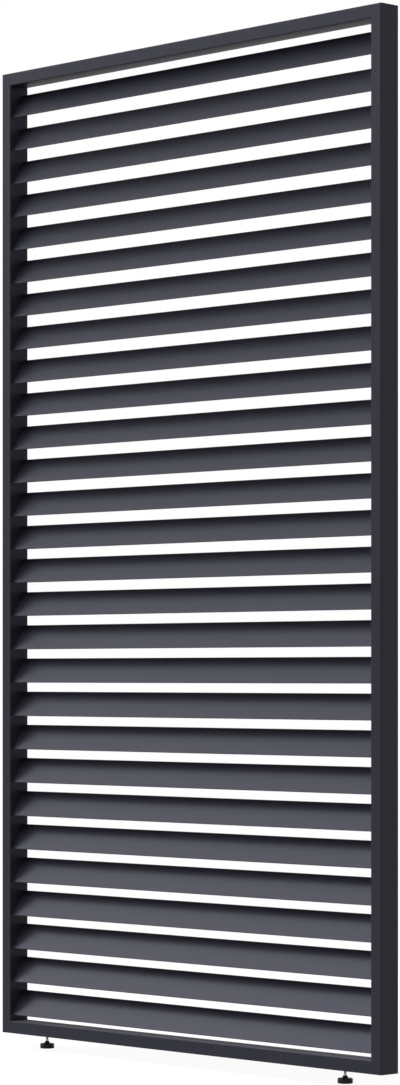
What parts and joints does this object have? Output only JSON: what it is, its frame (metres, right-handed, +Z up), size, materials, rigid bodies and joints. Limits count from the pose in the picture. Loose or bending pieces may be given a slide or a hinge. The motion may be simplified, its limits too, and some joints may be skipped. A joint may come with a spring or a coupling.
{
  "type": "pergola screen panel",
  "caption": "Louvred privacy screen for a pergola: a tall mitred aluminium frame holding fixed sloping slats, standing on two levelling feet that screw in and out.",
  "frame": {"origin": "on the floor, midway between the feet and at mid depth", "axes": "+X along the width to the right seen from the front, front face towards -Y, +Z up"},
  "size_m": [1.2, 0.053, 2.2284],
  "materials": {
    "frame_coat": "anthracite powder coat with a fine satin texture",
    "slat_coat": "anthracite powder coat with a fine satin texture",
    "cleat_aluminium": "mill-finish extrusion",
    "screw_steel": "black passivated steel",
    "insert_steel": "zinc-plated steel",
    "stud_steel": "zinc-plated steel",
    "pad_plastic": "black moulded polyamide with a fine spark texture"
  },
  "bodies": {
    "frame": {"left_stile": "frame_coat", "right_stile": "frame_coat", "top_rail": "frame_coat", "bottom_rail": "frame_coat", "slat_01": "slat_coat", "slat_02": "slat_coat", "slat_03": "slat_coat", "slat_04": "slat_coat", "slat_05": "slat_coat", "slat_06": "slat_coat", "slat_07": "slat_coat", "slat_08": "slat_coat", "slat_09": "slat_coat", "slat_10": "slat_coat", "slat_11": "slat_coat", "slat_12": "slat_coat", "slat_13": "slat_coat", "slat_14": "slat_coat", "slat_15": "slat_coat", "slat_16": "slat_coat", "slat_17": "slat_coat", "slat_18": "slat_coat", "slat_19": "slat_coat", "slat_20": "slat_coat", "slat_21": "slat_coat", "slat_22": "slat_coat", "slat_23": "slat_coat", "slat_24": "slat_coat", "slat_25": "slat_coat", "slat_26": "slat_coat", "slat_27": "slat_coat", "slat_28": "slat_coat", "corner_cleat_top_right": "cleat_aluminium", "corner_cleat_top_left": "cleat_aluminium", "corner_cleat_bottom_right": "cleat_aluminium", "corner_cleat_bottom_left": "cleat_aluminium", "corner_screws": "screw_steel", "foot_insert_left": "insert_steel", "foot_insert_right": "insert_steel"},
    "left_pad": {"foot_pad_left": "pad_plastic"},
    "left_stud": {"foot_stud_left": "stud_steel"},
    "right_pad": {"foot_pad_right": "pad_plastic"},
    "right_stud": {"foot_stud_right": "stud_steel"}
  },
  "joints": [
    {"name": "left_foot_travel", "type": "slide", "parent": "frame", "child": "left_pad", "axis": [0, 0, -1], "range_m": [-0.0112, 0.0075]},
    {"name": "left_stud_turn", "type": "hinge", "parent": "left_pad", "child": "left_stud", "pos_m": [-0.473, 0, 0.0284], "axis": [0, 0, -1], "range_deg": [-4032.5, 2700.5]},
    {"name": "right_foot_travel", "type": "slide", "parent": "frame", "child": "right_pad", "axis": [0, 0, -1], "range_m": [-0.0112, 0.0075]},
    {"name": "right_stud_turn", "type": "hinge", "parent": "right_pad", "child": "right_stud", "pos_m": [0.473, 0, 0.0284], "axis": [0, 0, -1], "range_deg": [-4032.5, 2700.5]}
  ],
  "couplings": [
    {"joint": "left_stud_turn", "follows": "left_foot_travel", "rad_per_m": 6283.2},
    {"joint": "right_stud_turn", "follows": "right_foot_travel", "rad_per_m": 6283.2}
  ]
}
